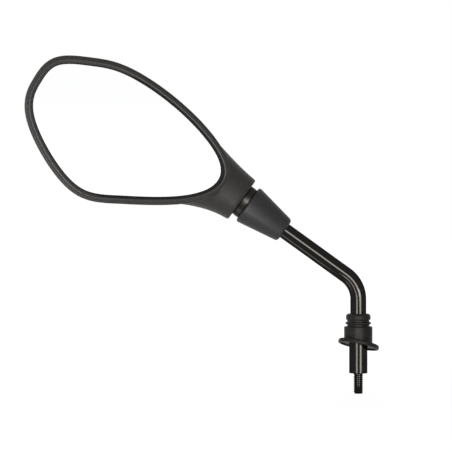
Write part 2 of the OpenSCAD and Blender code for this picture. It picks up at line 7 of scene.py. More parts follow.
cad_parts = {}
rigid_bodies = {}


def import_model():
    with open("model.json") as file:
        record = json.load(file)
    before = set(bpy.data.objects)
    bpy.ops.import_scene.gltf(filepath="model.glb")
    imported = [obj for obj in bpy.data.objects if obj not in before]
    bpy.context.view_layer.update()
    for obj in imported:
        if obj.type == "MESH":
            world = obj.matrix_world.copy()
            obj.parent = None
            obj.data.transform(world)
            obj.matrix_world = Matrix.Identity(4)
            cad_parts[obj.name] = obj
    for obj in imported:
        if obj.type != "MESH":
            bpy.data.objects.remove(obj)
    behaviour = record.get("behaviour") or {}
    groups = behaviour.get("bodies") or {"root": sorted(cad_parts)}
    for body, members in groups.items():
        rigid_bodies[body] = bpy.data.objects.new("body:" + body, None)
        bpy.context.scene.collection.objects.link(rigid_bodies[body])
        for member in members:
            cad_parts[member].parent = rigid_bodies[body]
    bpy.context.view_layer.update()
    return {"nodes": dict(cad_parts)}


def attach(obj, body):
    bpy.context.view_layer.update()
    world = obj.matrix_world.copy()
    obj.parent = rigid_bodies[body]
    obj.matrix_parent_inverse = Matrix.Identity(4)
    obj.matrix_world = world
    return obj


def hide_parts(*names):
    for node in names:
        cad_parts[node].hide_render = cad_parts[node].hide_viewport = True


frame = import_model()
scene = bpy.context.scene
for thing in list(scene.objects):
    if thing.type in {"CAMERA", "LIGHT"} or thing.name == "Cube":
        bpy.data.objects.remove(thing)
print("frame loaded")

# camera: a long lens, level, square on the arm
cameraSet = dict(place=(-0.11576, -1.5, 0.12867), lens=136.5, sensor=36.0, sees=50.0)
cameraData = bpy.data.cameras.new("camera")
cameraData.lens = cameraSet["lens"]
cameraData.sensor_width = cameraSet["sensor"]
cameraData.clip_end = cameraSet["sees"]
camera = bpy.data.objects.new("camera", cameraData)
camera.location = cameraSet["place"]
camera.rotation_euler = (math.pi / 2, 0, 0)
scene.collection.objects.link(camera)
scene.camera = camera
print("camera")

# places that the pieces share, in millimetres and radians
arm = dict(corner=78.0, reach=122.6, rise=math.radians(35.8))
headAim = dict(turn=math.radians(12), tip=math.radians(3.5))
alongArm = Vector((-math.cos(arm["rise"]), 0, math.sin(arm["rise"])))
ballCentre = Vector((-math.cos(arm["rise"]) * arm["reach"], 0,
                     arm["corner"] + math.sin(arm["rise"]) * arm["reach"]))
jointFrame = Matrix.Translation(ballCentre) @ Matrix.Rotation(arm["rise"] - math.pi / 2, 4, "Y")
headFrame = (Matrix.Translation(ballCentre) @ Matrix.Rotation(headAim["turn"], 4, "Z")
             @ Matrix.Rotation(headAim["tip"], 4, "X"))
atOrigin = Matrix.Identity(4)
toMetres = Matrix.Scale(0.001, 4)


class Wire:  # a socket that Python's own operators work on
    def __init__(self, paint, socket):
        self.paint = paint
        self.socket = socket

    def maths(self, operation, first, second):
        return self.paint.node("ShaderNodeMath", dict(operation=operation), {0: first, 1: second})

    def __add__(self, other):
        return self.maths("ADD", self, other)

    def __radd__(self, other):
        return self.maths("ADD", other, self)

    def __sub__(self, other):
        return self.maths("SUBTRACT", self, other)

    def __rsub__(self, other):
        return self.maths("SUBTRACT", other, self)

    def __mul__(self, other):
        return self.maths("MULTIPLY", self, other)

    def __rmul__(self, other):
        return self.maths("MULTIPLY", other, self)


class Paint:  # a material and the one way in which its nodes are added
    def __init__(self, name):
        self.material = bpy.data.materials.new(name)
        self.material.use_nodes = True
        self.tree = self.material.node_tree
        self.shader = self.tree.nodes["Principled BSDF"]

    def feed(self, socket, value):
        if isinstance(value, Wire):
            self.tree.links.new(value.socket, socket)
        else:
            socket.default_value = value

    def node(self, kind, settings=None, inputs=None, out=0):
        made = self.tree.nodes.new(kind)
        for key, value in (settings or {}).items():
            if key == "stops":
                stops = made.color_ramp.elements
                while len(stops) < len(value):
                    stops.new(1.0)
                for stop, (position, shade) in zip(stops, value):
                    stop.position = position
                    stop.color = (shade, shade, shade, 1)
            else:
                setattr(made, key, value)
        for key, value in (inputs or {}).items():
            self.feed(made.inputs[key], value)
        return Wire(self, made.outputs[out])

    def set(self, **values):
        for key, value in values.items():
            self.feed(self.shader.inputs[key.replace("_", " ")], value)
        return self

    def place(self):
        return self.node("ShaderNodeTexCoord", out="Object")

    def noise(self, size, detail=2.0, stretch=(1, 1, 1)):  # size of a blotch in millimetres
        spot = self.node("ShaderNodeMapping", {}, {"Vector": self.place(), "Scale": stretch})
        return self.node("ShaderNodeTexNoise", {},
                         {"Vector": spot, "Scale": 1000 / size, "Detail": detail})

    def ramp(self, value, *stops):
        return self.node("ShaderNodeValToRGB", dict(stops=stops), {0: value})

    def tint(self, share, first, second):
        return self.node("ShaderNodeMix", dict(data_type="RGBA"),
                         {0: share, 6: first + (1,), 7: second + (1,)}, 2)

    def bump(self, height, strength, depth):  # depth in millimetres
        return self.node("ShaderNodeBump", {},
                         {"Height": height, "Strength": strength, "Distance": depth / 1000})


# finishes, with the sizes and depths of their marks in millimetres
mould = dict(blotch=26, fineShare=0.45, depth=0.12)
gloss = dict(peel=3.0, film=14, nick=0.9, depth=0.02, metal=0.92, level=0.17)
plate = dict(streak=1.2, stain=5, depth=0.02)
rubber = dict(bloom=5, pore=0.35, dust=1.3, depth=0.10, level=0.06)
silver = dict(wipe=30, rough=0.012)


def mouldedPlastic(name, dark, light, grain):
    paint = Paint(name)
    speck = paint.noise(grain["size"], 3.0)
    blotch = paint.noise(mould["blotch"], 3.0)
    fine = paint.noise(grain["size"] * mould["fineShare"], 1.0)
    shade = paint.ramp(0.55 * blotch + 0.45 * speck, (0.36, 0.0), (0.66, 1.0))
    paint.set(Base_Color=paint.tint(shade, dark, light),
              Roughness=grain["rough"] + 0.12 * (blotch - 0.5) + 0.10 * (speck - 0.5),
              Normal=paint.bump(0.7 * speck + 0.3 * fine, grain["bump"], mould["depth"]),
              Specular_IOR_Level=grain["shine"])
    return paint.material


def blackGloss(name, colour, rough, peel, edge):  # dipped black steel, whose edges reflect little
    paint = Paint(name)
    orange = paint.noise(gloss["peel"], 1.0)
    film = paint.noise(gloss["film"], 4.0)
    nicks = paint.ramp(paint.noise(gloss["nick"], 2.0, (1, 1, 0.25)), (0.72, 0.0), (0.82, 1.0))
    lighter = tuple(1.25 * c for c in colour)
    paint.set(Base_Color=paint.tint(0.5 * film + 0.5 * nicks, colour, lighter),
              Roughness=rough + 0.05 * (film - 0.5) + 0.05 * nicks,
              Normal=paint.bump(orange, peel, gloss["depth"]), Metallic=gloss["metal"],
              Specular_IOR_Level=gloss["level"], Specular_Tint=(edge, edge, edge, 1))
    return paint.material


def platedSteel(name, dark, light, rough):
    paint = Paint(name)
    streak = paint.noise(plate["streak"], 4.0, (1, 1, 0.15))
    stain = paint.noise(plate["stain"], 3.0)
    paint.set(Base_Color=paint.tint(paint.ramp(stain, (0.35, 0.0), (0.65, 1.0)), dark, light),
              Metallic=1.0, Roughness=rough + 0.16 * (streak - 0.5),
              Normal=paint.bump(streak, 0.15, plate["depth"]))
    return paint.material


def softRubber(name, dark, light, rough):
    paint = Paint(name)
    bloom = paint.noise(rubber["bloom"], 4.0)
    pores = paint.noise(rubber["pore"], 2.0)
    dust = paint.noise(rubber["dust"], 3.0)
    shade = paint.ramp(0.6 * bloom + 0.4 * dust, (0.35, 0.0), (0.68, 1.0))
    paint.set(Base_Color=paint.tint(shade, dark, light), Roughness=rough + 0.14 * (bloom - 0.5),
              Normal=paint.bump(0.5 * pores + 0.5 * dust, 0.25, rubber["depth"]),
              Specular_IOR_Level=rubber["level"])
    return paint.material


def silvered(name):
    paint = Paint(name)
    wipe = paint.noise(silver["wipe"], 3.0, (1, 1, 0.3))
    paint.set(Base_Color=paint.tint(wipe, (0.985, 0.988, 0.990), (0.995, 0.996, 0.996)),
              Metallic=1.0, Roughness=silver["rough"] + 0.02 * wipe)
    return paint.material


headPlastic = mouldedPlastic("headPlastic", (0.024, 0.0225, 0.021), (0.036, 0.034, 0.0315),
                             dict(size=0.7, rough=0.50, bump=0.30, shine=0.14))
# the bead's plastic is smoother than the shell, and its lighter colour is a painted highlight on the crest
rimPlasticWithPaintedSheen = mouldedPlastic("rimPlasticWithPaintedSheen", (0.026, 0.0245, 0.023), (0.038, 0.036, 0.0335),
                            dict(size=0.7, rough=0.44, bump=0.25, shine=0.155))
conePlastic = mouldedPlastic("conePlastic", (0.023, 0.023, 0.0245), (0.033, 0.033, 0.035),
                             dict(size=0.6, rough=0.48, bump=0.25, shine=0.14))
carrierPlastic = mouldedPlastic("carrierPlastic", (0.022, 0.022, 0.022), (0.034, 0.034, 0.034),
                                dict(size=1.0, rough=0.45, bump=0.2, shine=0.3))
acetal = mouldedPlastic("acetal", (0.74, 0.73, 0.68), (0.84, 0.83, 0.79),
                        dict(size=0.8, rough=0.4, bump=0.1, shine=0.5))
stemPaint = blackGloss("stemPaint", (0.0135, 0.0129, 0.0122), 0.11, 0.012, 0.42)
footPaint = blackGloss("footPaint", (0.0135, 0.0129, 0.0122), 0.13, 0.012, 0.42)
ballPaint = blackGloss("ballPaint", (0.0175, 0.0169, 0.0162), 0.36, 0.05, 0.6)
zincSteel = platedSteel("zincSteel", (0.50, 0.50, 0.52), (0.68, 0.68, 0.70), 0.34)
springSteel = platedSteel("springSteel", (0.30, 0.30, 0.31), (0.46, 0.46, 0.48), 0.30)
bootRubber = softRubber("bootRubber", (0.011, 0.010, 0.009), (0.024, 0.022, 0.020), 0.42)
sealRubber = softRubber("sealRubber", (0.010, 0.010, 0.010), (0.018, 0.018, 0.017), 0.6)
padFoam = softRubber("padFoam", (0.05, 0.05, 0.05), (0.08, 0.08, 0.08), 0.85)
mirrorSilver = silvered("mirrorSilver")
print("materials ready")

finishOf = dict(threaded_foot=footPaint, stem_tube=stemPaint, end_plug=zincSteel, lock_nut=zincSteel,
                pivot_stud=zincSteel, pivot_ball=ballPaint, pressure_cup=zincSteel,
                joint_spring=springSteel, spring_washer=zincSteel, tension_nut=zincSteel,
                ball_liner=acetal, cup_liner=acetal, housing=headPlastic, socket_bracket=zincSteel,
                bracket_screws=zincSteel, neck_seal=sealRubber, mirror_glass=mirrorSilver,
                glass_pad=padFoam, glass_carrier=carrierPlastic, carrier_screws=zincSteel,
                cone_cover=conePlastic, rubber_boot=bootRubber)
for nodeName, material in finishOf.items():
    node = frame["nodes"][nodeName]
    node.data.materials.clear()
    node.data.materials.append(material)


# small modelling helpers, all in millimetres
def toMesh(bm, name):
    mesh = bpy.data.meshes.new(name)
    bm.to_mesh(mesh)
    bm.free()
    return mesh


def placed(bm, where):
    bmesh.ops.transform(bm, matrix=where, verts=bm.verts)
    return bm


def makePiece(bm, name, where, body, node, sharp=38, normals=True):
    placed(bm, toMetres @ where)
    if normals:
        bmesh.ops.recalc_face_normals(bm, faces=bm.faces)
    mesh = toMesh(bm, name)
    mesh.materials.append(finishOf[node])
    mesh.shade_smooth()
    mesh.set_sharp_from_angle(angle=math.radians(sharp))
    piece = bpy.data.objects.new(name, mesh)
    scene.collection.objects.link(piece)
    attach(piece, body)
    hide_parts(node)
    return piece


def applied(piece):  # the modifiers become part of the mesh
    graph = bpy.context.evaluated_depsgraph_get()
    mesh = bpy.data.meshes.new_from_object(piece.evaluated_get(graph))
    piece.modifiers.clear()
    piece.data = mesh
    return piece


def soften(piece, name, factor, rounds, group=""):
    smooth = piece.modifiers.new(name, "SMOOTH")
    smooth.factor = factor
    smooth.iterations = rounds
    smooth.vertex_group = group


def joined(bm, other):  # the other shape becomes part of this one
    for part in (bm, other):
        bmesh.ops.recalc_face_normals(part, faces=part.faces)
    mesh = toMesh(other, "part")
    bm.from_mesh(mesh)
    bpy.data.meshes.remove(mesh)
    return bm


def cutter(bm, where, name):
    placed(bm, toMetres @ where)
    bmesh.ops.recalc_face_normals(bm, faces=bm.faces)
    tool = bpy.data.objects.new(name, toMesh(bm, name))
    scene.collection.objects.link(tool)
    return tool


def cleaned(bm, least):  # without the slivers that a cut leaves behind
    bmesh.ops.remove_doubles(bm, verts=bm.verts, dist=least)
    bmesh.ops.dissolve_degenerate(bm, edges=bm.edges, dist=least)
    tiny = 200 * least * least
    crowded = {f for e in bm.edges if len(e.link_faces) > 2 for f in e.link_faces if f.calc_area() < tiny}
    bmesh.ops.delete(bm, geom=list(crowded), context="FACES")
    return bm


def loop(bm, points):
    verts = [bm.verts.new(p) for p in points]
    return [bm.edges.new((verts[i - 1], verts[i])) for i in range(len(verts))]


def loft(bm, rings, closed=False):  # a skin over the rings, with ends unless it closes on itself
    loops = [loop(bm, ring) for ring in rings]
    for first, second in zip(loops, loops[1:] + loops[:1] if closed else loops[1:]):
        bmesh.ops.bridge_loops(bm, edges=first + second)
    if not closed:
        bmesh.ops.contextual_create(bm, geom=loops[0])
        bmesh.ops.contextual_create(bm, geom=loops[-1])
    return bm


def rounded(corners, steps=5):  # (radius, height, rounding) corners become an arc each
    line = []
    for i, corner in enumerate(corners):
        here = Vector(corner[:2])
        bend = corner[2] if len(corner) > 2 else 0
        if not bend:
            line.append(here)
            continue
        back = (Vector(corners[i - 1][:2]) - here).normalized()
        ahead = (Vector(corners[(i + 1) % len(corners)][:2]) - here).normalized()
        half = back.angle(ahead) / 2
        cut = bend / math.tan(half)
        middle = here + (back + ahead).normalized() * (bend / math.sin(half))
        start = here + back * cut - middle
        turn = math.pi - 2 * half
        side = 1 if back.cross(ahead) < 0 else -1
        for k in range(steps + 1):
            angle = side * turn * k / steps
            line.append(middle + Vector((start.x * math.cos(angle) - start.y * math.sin(angle),
                                         start.x * math.sin(angle) + start.y * math.cos(angle))))
    return line


def turned(line, steps=96, closed=True):
    bm = bmesh.new()
    verts = [bm.verts.new((p[0], 0, p[1])) for p in line]
    edges = [bm.edges.new(pair) for pair in zip(verts, verts[1:])]
    if closed:
        edges.append(bm.edges.new((verts[-1], verts[0])))
    bmesh.ops.spin(bm, geom=verts + edges, cent=(0, 0, 0), axis=(0, 0, 1), angle=2 * math.pi,
                   steps=steps, use_merge=True)
    bmesh.ops.remove_doubles(bm, verts=bm.verts, dist=0.0005)
    return bm


def pushOut(bm, edges, vector, steps=1):
    for _ in range(steps):
        made = bmesh.ops.extrude_edge_only(bm, edges=edges)["geom"]
        bmesh.ops.translate(bm, vec=vector / steps,
                            verts=[g for g in made if isinstance(g, bmesh.types.BMVert)])
        edges = [g for g in made if isinstance(g, bmesh.types.BMEdge) and len(g.link_faces) == 1
                 and not any(v in e.verts for e in edges for v in g.verts)]
    return edges


# head: the outline of the glass is a closed smooth curve inside these guide points
head = dict(centre=(-106.0, 61.0), apex=(36.0, -19.0), crest=-21.3, recess=5.0, rimDepth=8.5, rimWide=6.5,
            depth=41.0, full=0.9, taper=0.62, wall=2.5, opening=2.2, ledge=4.0, hollow=4.2,
            voxel=0.00085, sharp=50,
            shoulder=[(4.0, 2.3), (4.7, 1.95), (5.4, 2.0), (6.0, 2.45), (6.4, 3.1), (6.58, 4.0)],
            bowlAngles=[0, 4, 8, 12, 18, 25, 32, 39, 46, 53, 60, 66, 72, 77, 82, 86],
            hollowAngles=[12, 25, 38, 50, 62, 74, 86],
            guide=[(49.4, 17.6), (-5, 52.6), (-31.1, 54.8), (-63.4, 59), (-75.4, 40.2),
                   (-88.8, 15.6), (-47.3, -54.6), (-14.5, -55), (56.9, -59.4), (96.7, -37.8)])
glassDepth = head["crest"] + head["recess"]
backDepth = head["crest"] + head["rimDepth"]

# neck: its radius grows along it, and it ends inside the bowl
neck = dict(face=2.9, radius=20.9, long=76.0, swellFrom=40.0, side=0.07, sideCurve=0.0043, front=0.205,
            back=-0.002, edge=0.9, guard=18.4,
            outside=[4, 8, 12, 16, 20, 25, 30, 35, 40, 45, 50, 55, 60, 64, 68, 71, 73.5],
            inside=[3.6, 8, 14, 20, 26, 32, 38, 44, 50, 56, 62, 68],
            mouth=[(0, 1.9), (16.1, 1.9), (16.1, 3.9), (16.9, 3.9), (16.9, 6.4), (18.05, 6.4),
                   (18.05, 12.4), (0, 12.4)])

# the back, where the neck runs into the bowl, is melted together: where it starts and fades out
melt = dict(start=30, rise=14, end=118, fall=20, front=8, fade=8, factor=0.6, rounds=110)


def outline(gap, steps):
    guide = [Vector(p) for p in head["guide"]]
    count = len(guide)
    curve = []
    for i in range(count):
        a, b, c, d = (guide[(i + k) % count] for k in (-1, 0, 1, 2))
        for j in range(steps):
            t = j / steps
            curve.append(((1 - t) ** 3 * a + (3 * t ** 3 - 6 * t * t + 4) * b
                          + (-3 * t ** 3 + 3 * t * t + 3 * t + 1) * c + t ** 3 * d) / 6)
    moved = []
    for i, p in enumerate(curve):
        run = curve[(i + 1) % len(curve)] - curve[i - 1]
        moved.append(p + gap * Vector((run.y, -run.x)).normalized())
    return moved


def headRing(gap, depth, share=1.0, steps=12):
    apex = Vector(head["apex"])
    return [(head["centre"][0] + q.x, depth, head["centre"][1] + q.y)
            for q in (apex + share * (p - apex) for p in outline(gap, steps))]


def bowlRings(gap, front, depth, angles):
    return [headRing(gap, front + depth * math.sin(math.radians(a)) ** head["full"],
                     math.cos(math.radians(a)) ** head["taper"]) for a in angles]


def neckRing(s, wall=0.0, shrink=0.0, limit=99.0):
    past = max(0.0, s - neck["swellFrom"]) / (neck["long"] - neck["swellFrom"])
    swell = math.sqrt(max(0.0, 1 - past * past))
    half = (neck["radius"] + neck["side"] * s + neck["sideCurve"] * s * s) * swell - wall - shrink
    rear = (neck["radius"] + neck["back"] * s * s) * swell - wall - shrink
    fore = min((neck["radius"] + neck["front"] * s) * swell - wall - shrink, limit)
    ring = []
    for k in range(72):
        a = math.radians(5 * k)
        ring.append((neck["back"] * s * s + half * math.cos(a),
                     (rear if k < 36 else fore) * math.sin(a), neck["face"] + s))
    return ring


def headSkin():
    bowl = loft(bmesh.new(), [headRing(gap, head["crest"] + depth) for gap, depth in head["shoulder"]]
                + bowlRings(head["rimWide"], glassDepth, head["depth"], head["bowlAngles"]))
    edge = neck["edge"]
    corner = [math.radians(a) for a in (0, 30, 60)]
    stub = loft(bmesh.new(), [neckRing(edge * (1 - math.cos(a)), 0, edge * (1 - math.sin(a))) for a in corner]
                + [neckRing(s) for s in [edge] + neck["outside"]])
    bm = joined(placed(bowl, headFrame), placed(stub, jointFrame))
    piece = makePiece(bm, "headShell", atOrigin, "head", "housing", normals=False)
    remesh = piece.modifiers.new("skin", "REMESH")
    remesh.mode = "VOXEL"
    remesh.voxel_size = head["voxel"]
    soften(piece, "blend", 0.5, 14)
    return applied(piece)


def melted(piece):
    zone = piece.vertex_groups.new(name="joinZone")
    toJoint, toHead = jointFrame.inverted(), headFrame.inverted()
    for v in piece.data.vertices:
        along = (toJoint @ (1000 * v.co)).z
        behind = (toHead @ (1000 * v.co)).y
        share = max(0.0, min(1.0, (along - melt["start"]) / melt["rise"], (melt["end"] - along) / melt["fall"],
                             (behind + melt["front"]) / melt["fade"]))
        if share:
            zone.add([v.index], share, "REPLACE")
    soften(piece, "melt", melt["factor"], melt["rounds"], "joinZone")
    return applied(piece)


def hollowed(piece):  # the opening for the glass, the inside of bowl and neck, and the neck's mouth
    wall = head["wall"]
    glassHole = [headRing(head["opening"], -45), headRing(head["opening"], backDepth + 1.0)]
    inside = ([headRing(head["ledge"], backDepth)]
              + bowlRings(head["hollow"], backDepth, head["depth"] + glassDepth - backDepth - wall,
                          head["hollowAngles"]))
    bore = [neckRing(s, wall, 0, neck["guard"]) for s in neck["inside"]]
    tools = [cutter(loft(bmesh.new(), glassHole), headFrame, "cutGlass"),
             cutter(loft(bmesh.new(), inside), headFrame, "cutBowl"),
             cutter(loft(bmesh.new(), bore), jointFrame, "cutNeck"),
             cutter(turned(neck["mouth"]), jointFrame, "cutMouth")]
    for tool in tools:
        cut = piece.modifiers.new(tool.name, "BOOLEAN")
        cut.operation = "DIFFERENCE"
        cut.solver = "EXACT"
        cut.object = tool
    applied(piece)
    for tool in tools:
        bpy.data.objects.remove(tool)
    bm = bmesh.new()
    bm.from_mesh(piece.data)
    cleaned(bm, 0.00001).to_mesh(piece.data)
    bm.free()
    piece.data.shade_smooth()
    piece.data.set_sharp_from_angle(angle=math.radians(head["sharp"]))
    return piece


headShell = hollowed(melted(headSkin()))
print("head shell", len(headShell.data.polygons))

# the rolled bead round the glass: outward gap and depth behind the crest
bead = dict(roll=[(0.0, 9.5), (0.0, 3.4), (0.12, 2.4), (0.45, 1.5), (1.0, 0.8), (1.7, 0.35), (2.4, 0.2),
                  (3.1, 0.32), (3.7, 0.7), (4.2, 1.3), (4.6, 2.1), (4.75, 3.0), (4.6, 4.6), (3.2, 9.5)])
bm = loft(bmesh.new(), [headRing(gap, head["crest"] + depth, steps=20) for gap, depth in bead["roll"]],
          closed=True)
rimBead = makePiece(bm, "rimBead", headFrame, "head", "housing", sharp=60)
# lighter copy of the shell plastic on the bead: painted highlight
rimBead.data.materials[0] = rimPlasticWithPaintedSheen

# dark rubber lining inside the bead; its lip is widened to the right and below as painted shade of the recess
# there
lining = dict(toward=(0.95, -0.30), fade=(-0.12, 0.22),
              narrow=[(-0.34, 6.3), (0.5, 6.3), (0.6, 2.6), (0.14, 2.1), (-0.03, 2.7), (-0.10, 3.4),
                      (-0.14, 4.2), (-0.34, 4.5)],
              paintedShadeBroad=[(-0.34, 6.3), (0.5, 6.3), (1.5, 1.2), (1.15, 0.60), (0.42, 1.44), (0.03, 2.5),
                     (-0.10, 3.8), (-0.34, 4.3)])


# blends from the narrow lip to the widened one, which is painted shade, by the way the edge faces
def liningRing(thin, wide, steps=20):
    toward, (begin, full) = Vector(lining["toward"]), lining["fade"]
    line = outline(0, steps)
    ring = []
    for i, (first, second) in enumerate(zip(headRing(thin[0], head["crest"] + thin[1], steps=steps),
                                            headRing(wide[0], head["crest"] + wide[1], steps=steps))):
        run = line[(i + 1) % len(line)] - line[i - 1]
        facing = Vector((run.y, -run.x)).normalized().dot(toward)
        share = min(1.0, max(0.0, (facing - begin) / (full - begin)))
        ring.append(Vector(first).lerp(Vector(second), share * share * (3 - 2 * share)))
    return ring


bm = loft(bmesh.new(), [liningRing(thin, wide) for thin, wide in zip(lining["narrow"], lining["paintedShadeBroad"])],
          closed=True)
# dark rubber lining whose wide side to the right and below is painted shade
liningWithPaintedShade = makePiece(bm, "liningWithPaintedShade", headFrame, "head", "housing", sharp=60)
liningWithPaintedShade.data.materials[0] = sealRubber
print("bead and lining")

# convex glass with a ground edge
glass = dict(curve=1200.0, bulge=2.2, thick=2.5, gap=0.3, arris=0.5,
             frontShares=[0.02, 0.15, 0.3, 0.45, 0.6, 0.75, 0.88, 1.0], backShares=[1.0, 0.8, 0.5, 0.2, 0.02])


def glassRing(gap, share, back):
    front = glassDepth - glass["bulge"]
    ring = []
    for p in outline(gap, 20):
        q = share * p
        ring.append((head["centre"][0] + q.x, front + q.length_squared / (2 * glass["curve"]) + back,
                     head["centre"][1] + q.y))
    return ring


face = [glassRing(-glass["gap"] - glass["arris"], share, 0) for share in glass["frontShares"]]
back = [glassRing(-glass["gap"], share, glass["thick"]) for share in glass["backShares"]]
bm = loft(bmesh.new(), face + [glassRing(-glass["gap"], 1.0, glass["arris"])] + back)
mirrorGlass = makePiece(bm, "mirrorGlass", headFrame, "head", "mirror_glass", sharp=30)
print("glass")

# ball with its flat foot
ball = dict(radius=14.75, foot=-12.5, bore=3.15, steps=48)
line = []
lowest = math.asin(ball["foot"] / ball["radius"])
highest = math.acos(ball["bore"] / ball["radius"])
for k in range(ball["steps"] + 1):
    a = lowest + (highest - lowest) * k / ball["steps"]
    line.append((ball["radius"] * math.cos(a), ball["radius"] * math.sin(a)))
line.append((ball["bore"], ball["foot"]))
pivotBall = makePiece(turned(line, 128), "pivotBall", jointFrame, "stem", "pivot_ball")

# cone cover, which grips the tube at its tail
cone = dict(mouth=18.05, tail=11.05, bore=7.15, inner=15.15, relief=8.95, long=40.0, drop=3.1, grip=6.0,
            lead=0.6, mouthRound=2.1, tailRound=3.3)
top = -cone["drop"]
tail = top - cone["long"]
line = rounded([(cone["inner"], top, 0.35), (cone["mouth"], top, cone["mouthRound"]),
                (cone["tail"], tail, cone["tailRound"]), (cone["bore"] + cone["lead"], tail, 0.3),
                (cone["bore"], tail + cone["lead"], 0.3), (cone["bore"], tail + cone["grip"], 0.5),
                (cone["relief"], tail + cone["grip"] + 1.5, 1.0), (cone["inner"], top - 0.2)], 6)
coneCover = makePiece(turned(line, 128), "coneCover", jointFrame, "cone", "cone_cover",
                      sharp=50)
print("ball and cone")

# stem: tube from the sleeve through the bend to the joint
stem = dict(radius=7.0, wall=2.0, foot=31.0, bend=26.0, top=-19.0, round=64, bendSteps=28)


def buildStem():
    tangent = stem["bend"] * math.tan((math.pi / 2 - arm["rise"]) / 2)
    bendStart = arm["corner"] - tangent
    bm = bmesh.new()
    bmesh.ops.create_circle(bm, segments=stem["round"], radius=stem["radius"])
    bmesh.ops.translate(bm, vec=(0, 0, stem["foot"]), verts=bm.verts)
    rim = pushOut(bm, bm.edges[:], Vector((0, 0, bendStart - stem["foot"])), 2)
    last = bmesh.ops.spin(bm, geom=rim + list({v for e in rim for v in e.verts}),
                          cent=(-stem["bend"], 0, bendStart), axis=(0, -1, 0),
                          angle=math.pi / 2 - arm["rise"], steps=stem["bendSteps"])["geom_last"]
    rim = [g for g in last if isinstance(g, bmesh.types.BMEdge)]
    pushOut(bm, rim, alongArm * (arm["reach"] + stem["top"] - tangent), 4)
    bmesh.ops.remove_doubles(bm, verts=bm.verts, dist=0.0005)
    piece = makePiece(bm, "stemTube", atOrigin, "stem", "stem_tube")
    wall = piece.modifiers.new("wall", "SOLIDIFY")
    wall.thickness = stem["wall"] / 1000
    wall.offset = -1
    wall.use_rim = True
    return piece


stemTube = buildStem()
print("stem")

# foot: sleeve and shoulder with the spigot above, then a thread whose ridge is (cut, height) points
sleeve = dict(radius=8.0, long=31.0, edge=0.5, seat=4.4, spigot=4.95, spigotTop=45.0, lead=1.0, core=3.2,
              coreFoot=-2.4)
stud = dict(radius=4.0, pitch=1.87, depth=0.75, plain=0.5, long=17.9, chamfer=0.7, turns=11, steps=48,
            ridge=[(0.1, 0.34), (0.0, 0.46), (0.0, 1.30), (0.1, 1.42)], ridgeFoot=1.76)


def cutThread():
    thread = bmesh.new()
    start = -stud["long"] - stud["pitch"]
    points = ([(stud["depth"], 0.0)] + stud["ridge"]
              + [(stud["depth"], stud["ridgeFoot"]), (stud["depth"], stud["pitch"])])
    verts = [thread.verts.new((stud["radius"] - cut, 0, start + z)) for cut, z in points]
    edges = [thread.edges.new(pair) for pair in zip(verts, verts[1:])]
    bmesh.ops.spin(thread, geom=verts + edges, cent=(0, 0, 0), axis=(0, 0, 1),
                   angle=2 * math.pi * stud["turns"], dvec=(0, 0, stud["pitch"] / stud["steps"]),
                   steps=stud["steps"] * stud["turns"])
    bmesh.ops.remove_doubles(thread, verts=thread.verts, dist=0.002)
    for height, outward in ((-stud["long"], (0, 0, -1)), (-stud["plain"] - 0.1, (0, 0, 1))):
        bmesh.ops.bisect_plane(thread, geom=thread.verts[:] + thread.edges[:] + thread.faces[:],
                               plane_co=(0, 0, height), plane_no=outward, clear_outer=True)
        rim = [e for e in thread.edges if len(e.link_faces) == 1
               and all(abs(v.co.z - height) < 0.01 for v in e.verts)]
        bmesh.ops.contextual_create(thread, geom=rim)
    for v in thread.verts:  # the chamfer at the end
        across = math.hypot(v.co.x, v.co.y)
        most = stud["radius"] - stud["chamfer"] + (v.co.z + stud["long"])
        if across > most:
            v.co.x *= most / across
            v.co.y *= most / across
    return cleaned(thread, 0.002)


line = rounded([(0, sleeve["coreFoot"]), (sleeve["core"], sleeve["coreFoot"]),
                (stud["radius"] - 0.15, -stud["plain"] - 0.3, 0.15), (stud["radius"] - 0.1, -0.2, 0.1),
                (sleeve["seat"], 0.0), (sleeve["radius"], 0.0, sleeve["edge"]),
                (sleeve["radius"], sleeve["long"], sleeve["edge"]), (sleeve["spigot"], sleeve["long"]),
                (sleeve["spigot"], sleeve["spigotTop"] - sleeve["lead"]),
                (sleeve["spigot"] - sleeve["lead"], sleeve["spigotTop"]), (0, sleeve["spigotTop"])], 4)
bm = joined(turned(line, closed=False), cutThread())
threadedFoot = makePiece(bm, "threadedFoot", atOrigin, "stem", "threaded_foot",
                         sharp=35, normals=False)
print("threaded foot")

# rubber boot: turned body with rings, and a sloping flange
boot = dict(top=52.0, ring=10.75, ringTall=5.4, groove=9.7, rib=11.2, ribTall=2.0, grooveTall=1.9, body=12.4,
            bore=7.15, boreFoot=34.0, hold=8.3, holdTop=31.3, foot=16.0, flange=17.98, flangeThick=3.6,
            flangeAt=23.5, slope=12.0, pitch=11.0, lip=2.2, hollow=1.2)


